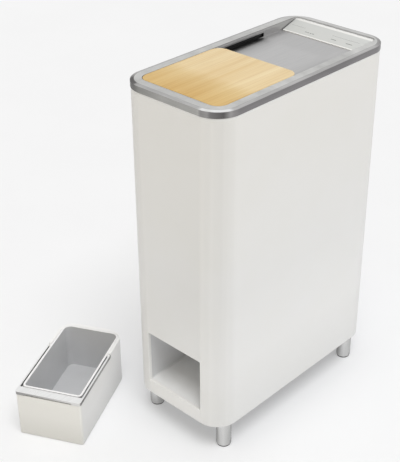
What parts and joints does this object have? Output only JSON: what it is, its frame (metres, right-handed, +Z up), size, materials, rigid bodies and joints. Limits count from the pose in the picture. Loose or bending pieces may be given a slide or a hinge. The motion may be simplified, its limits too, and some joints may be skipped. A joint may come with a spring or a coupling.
{
  "type": "electric food waste composter",
  "caption": "Tall floor-standing electric food waste composter with a sliding wooden lid, a mixing chamber, an open drawer bay and a compost drawer standing beside it.",
  "frame": {"origin": "on the floor under the centre of the cabinet", "axes": "+Z up, -Y out of the drawer bay, +Y towards the control panel, +X to the right seen from the front"},
  "size_m": [0.523, 0.8232, 0.862],
  "materials": {
    "white_paint": "satin warm white powder coat",
    "galvanised": "galvanised sheet",
    "leg_steel": "polished",
    "zinc": "zinc plated",
    "rubber": "matt",
    "rim_steel": "brushed",
    "grey_plastic": "fine matt",
    "black_plastic": "matt",
    "chamber_steel": "brushed stainless",
    "panel_plastic": "satin gloss",
    "board_green": "board lacquer",
    "heater_dark": "silicone heater mat",
    "gear_steel": "machined",
    "motor_paint": "satin",
    "bay_plastic": "satin",
    "filter_paper": "pleated fleece",
    "lid_wood": "oiled",
    "drawer_plastic": "satin",
    "bin_plastic": "satin"
  },
  "bodies": {
    "cabinet": {"outer_shell": "white_paint", "base_plate": "galvanised", "legs": "leg_steel", "leg_nuts": "zinc", "foot_pads": "rubber", "inner_frame": "galvanised", "top_deck": "grey_plastic", "top_rim": "rim_steel", "lid_rails": "black_plastic", "hopper_seal": "rubber", "hopper_throat": "chamber_steel", "control_panel": "panel_plastic", "touch_board": "board_green", "chamber_trough": "chamber_steel", "chamber_cover": "chamber_steel", "heater_plate": "heater_dark", "shaft_bushes": "black_plastic", "drive_bracket": "galvanised", "gear_motor": "motor_paint", "gate_frame": "black_plastic", "gate_actuator": "motor_paint", "discharge_chute": "bay_plastic", "drawer_bay": "bay_plastic", "filter_housing": "bay_plastic", "filter_cartridge": "filter_paper", "fan_housing": "black_plastic", "main_board": "board_green", "board_standoffs": "zinc", "power_inlet": "black_plastic", "rear_panel": "white_paint", "panel_screws": "zinc"},
    "lid": {"lid_panel": "lid_wood", "lid_carrier": "black_plastic", "lid_shoes": "black_plastic"},
    "drawer": {"drawer_shell": "drawer_plastic", "handle_pivots": "zinc", "drawer_glides": "rubber"},
    "bin": {"inner_bin": "bin_plastic"},
    "handle": {"drawer_handle": "rim_steel"},
    "agitator": {"agitator_shaft": "chamber_steel", "agitator_paddles": "chamber_steel", "driven_gear": "gear_steel"},
    "pinion": {"drive_pinion": "gear_steel"},
    "gate": {"discharge_gate": "chamber_steel"},
    "fan": {"fan_impeller": "grey_plastic"}
  },
  "joints": [
    {"name": "lid_slide", "type": "slide", "parent": "cabinet", "child": "lid", "axis": [0, 1, 0], "range_m": [0, 0.19]},
    {"name": "drawer_lift", "type": "slide", "parent": "cabinet", "child": "drawer", "axis": [0, 0, 1], "range_m": [0, 0.25]},
    {"name": "bin_lift", "type": "slide", "parent": "drawer", "child": "bin", "axis": [0, 0, 1], "range_m": [0, 0.1]},
    {"name": "handle_hinge", "type": "hinge", "parent": "drawer", "child": "handle", "pos_m": [-0.27797, -0.33509, 0.12265], "axis": [-0.8934, -0.4493, 0], "range_deg": [0, 90]},
    {"name": "agitator_spin", "type": "hinge", "parent": "cabinet", "child": "agitator", "pos_m": [0, 0, 0.5], "axis": [0, 1, 0], "continuous": true},
    {"name": "pinion_spin", "type": "hinge", "parent": "cabinet", "child": "pinion", "pos_m": [0, 0.08, 0.42], "axis": [0, 1, 0], "continuous": true},
    {"name": "gate_slide", "type": "slide", "parent": "cabinet", "child": "gate", "axis": [0, 1, 0], "range_m": [0, 0.13]},
    {"name": "fan_spin", "type": "hinge", "parent": "cabinet", "child": "fan", "pos_m": [0, 0.265, 0.68], "axis": [0, 1, 0], "continuous": true}
  ],
  "couplings": [
    {"joint": "pinion_spin", "follows": "agitator_spin", "ratio": -3}
  ]
}
